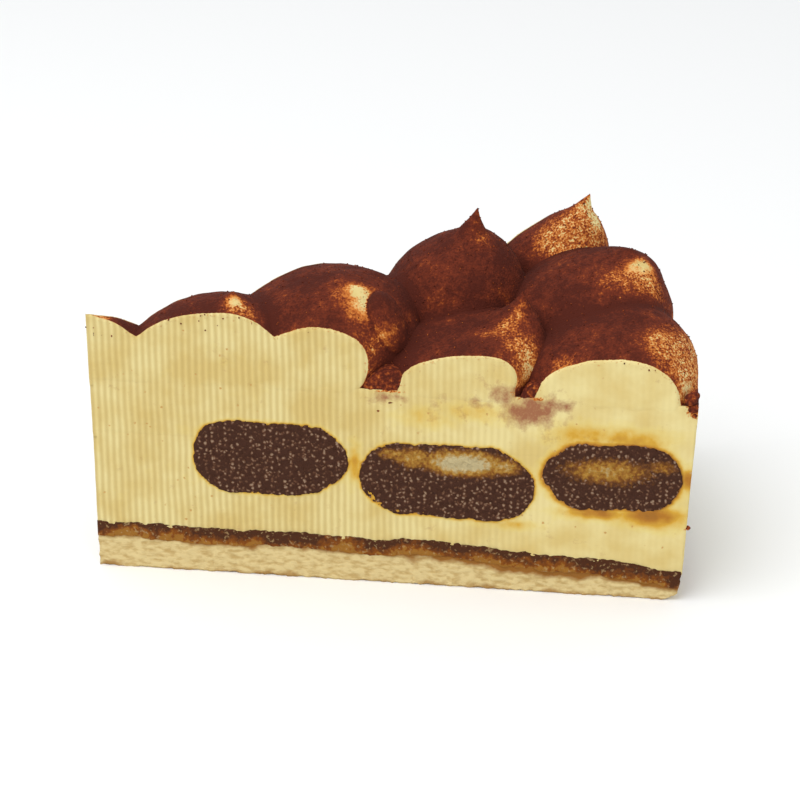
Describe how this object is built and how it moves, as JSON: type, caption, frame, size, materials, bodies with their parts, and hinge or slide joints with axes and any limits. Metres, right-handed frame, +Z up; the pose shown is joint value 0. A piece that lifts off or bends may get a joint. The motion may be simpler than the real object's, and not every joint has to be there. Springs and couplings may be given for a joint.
{
  "type": "tiramisu slice",
  "caption": "Wedge of layered tiramisu cake: sponge base, coffee layer, mascarpone cream with soaked ladyfingers, piped cream peaks under cocoa.",
  "frame": {"origin": "middle of the slice's bounding box, on the surface it stands on", "axes": "+X from the tip to the rim, half way between the two cut faces; +Z up; the front cut face is on the -Y side"},
  "size_m": [0.131, 0.0678, 0.077],
  "materials": {
    "baked_sponge": "matte, crumbly baked sponge",
    "coffee_chocolate": "moist, dark, slightly glossy",
    "mascarpone_cream": "soft satin, cut with a knife",
    "soaked_ladyfinger": "wet, porous sponge soaked in coffee",
    "cocoa_dusted_cream": "dry, powdery cocoa over cream"
  },
  "bodies": {
    "root": {"sponge_base": "baked_sponge", "coffee_layer": "coffee_chocolate", "lower_cream": "mascarpone_cream", "upper_cream": "mascarpone_cream", "ladyfinger_1": "soaked_ladyfinger", "ladyfinger_2": "soaked_ladyfinger", "ladyfinger_3": "soaked_ladyfinger", "dollop_1": "cocoa_dusted_cream", "dollop_2": "cocoa_dusted_cream", "dollop_3": "cocoa_dusted_cream", "dollop_4": "cocoa_dusted_cream", "dollop_5": "cocoa_dusted_cream", "dollop_6": "cocoa_dusted_cream", "dollop_7": "cocoa_dusted_cream", "dollop_8": "cocoa_dusted_cream"}
  },
  "joints": []
}
